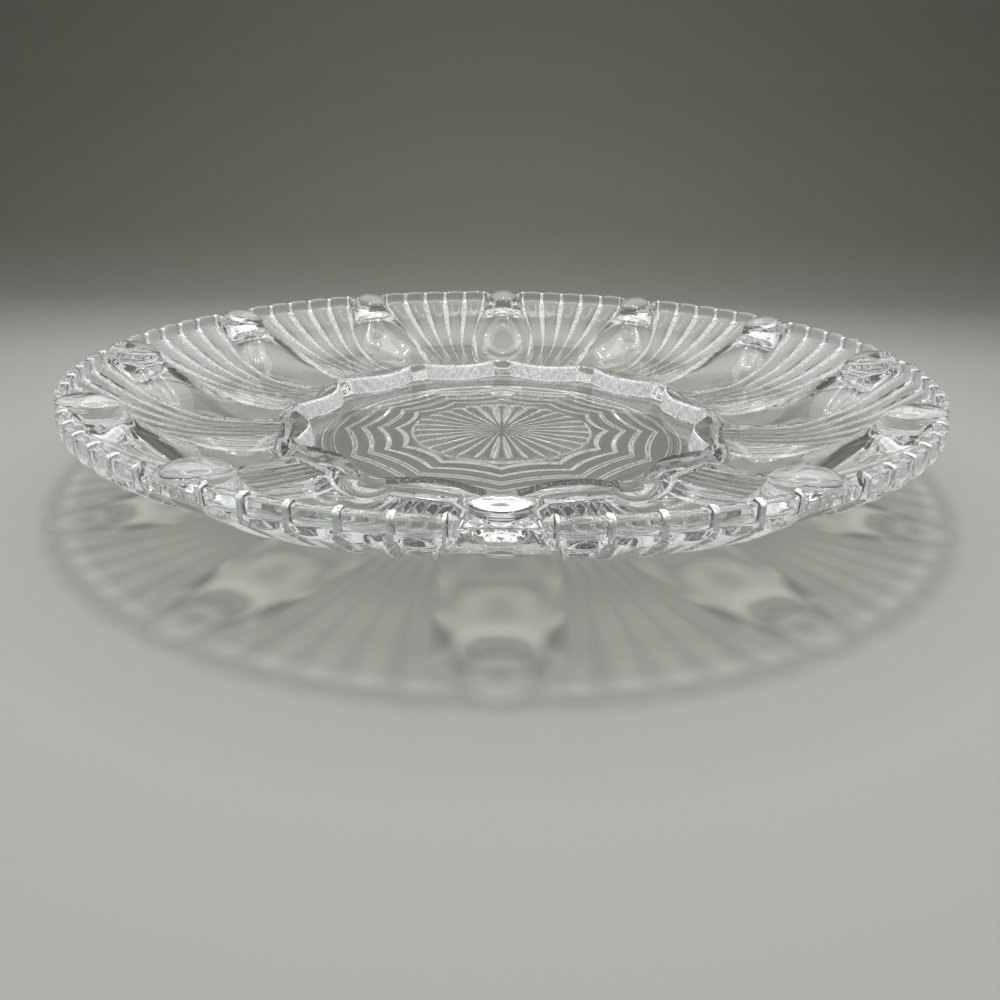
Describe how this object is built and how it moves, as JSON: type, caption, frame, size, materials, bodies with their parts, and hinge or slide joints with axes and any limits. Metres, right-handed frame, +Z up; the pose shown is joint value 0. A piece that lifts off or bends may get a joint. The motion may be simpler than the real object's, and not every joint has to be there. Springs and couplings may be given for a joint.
{
  "type": "deviled egg platter",
  "caption": "Round clear pressed-glass egg platter: smooth egg wells under rim pearls, fluted fans between them and a scalloped centre well with a sunburst.",
  "frame": {"origin": "centre of the foot ring's resting face, on the table", "axes": "+Z up along the platter's axis; +X through the first pearl and egg well; -Y towards the camera of the picture"},
  "size_m": [0.2542, 0.2542, 0.034],
  "materials": {
    "clear_glass": "fire-polished clear pressed glass"
  },
  "bodies": {
    "root": {"sunburst_medallion": "clear_glass", "medallion_border": "clear_glass", "floor_step_inner": "clear_glass", "floor_step_middle": "clear_glass", "floor_step_outer": "clear_glass", "foot_ring": "clear_glass", "centre_wall": "clear_glass", "egg_well_01": "clear_glass", "egg_well_02": "clear_glass", "egg_well_03": "clear_glass", "egg_well_04": "clear_glass", "egg_well_05": "clear_glass", "egg_well_06": "clear_glass", "egg_well_07": "clear_glass", "egg_well_08": "clear_glass", "egg_well_09": "clear_glass", "egg_well_10": "clear_glass", "egg_well_11": "clear_glass", "egg_well_12": "clear_glass", "fluted_fan_01": "clear_glass", "fluted_fan_02": "clear_glass", "fluted_fan_03": "clear_glass", "fluted_fan_04": "clear_glass", "fluted_fan_05": "clear_glass", "fluted_fan_06": "clear_glass", "fluted_fan_07": "clear_glass", "fluted_fan_08": "clear_glass", "fluted_fan_09": "clear_glass", "fluted_fan_10": "clear_glass", "fluted_fan_11": "clear_glass", "fluted_fan_12": "clear_glass", "rim_pearl_01": "clear_glass", "rim_pearl_02": "clear_glass", "rim_pearl_03": "clear_glass", "rim_pearl_04": "clear_glass", "rim_pearl_05": "clear_glass", "rim_pearl_06": "clear_glass", "rim_pearl_07": "clear_glass", "rim_pearl_08": "clear_glass", "rim_pearl_09": "clear_glass", "rim_pearl_10": "clear_glass", "rim_pearl_11": "clear_glass", "rim_pearl_12": "clear_glass"}
  },
  "joints": []
}
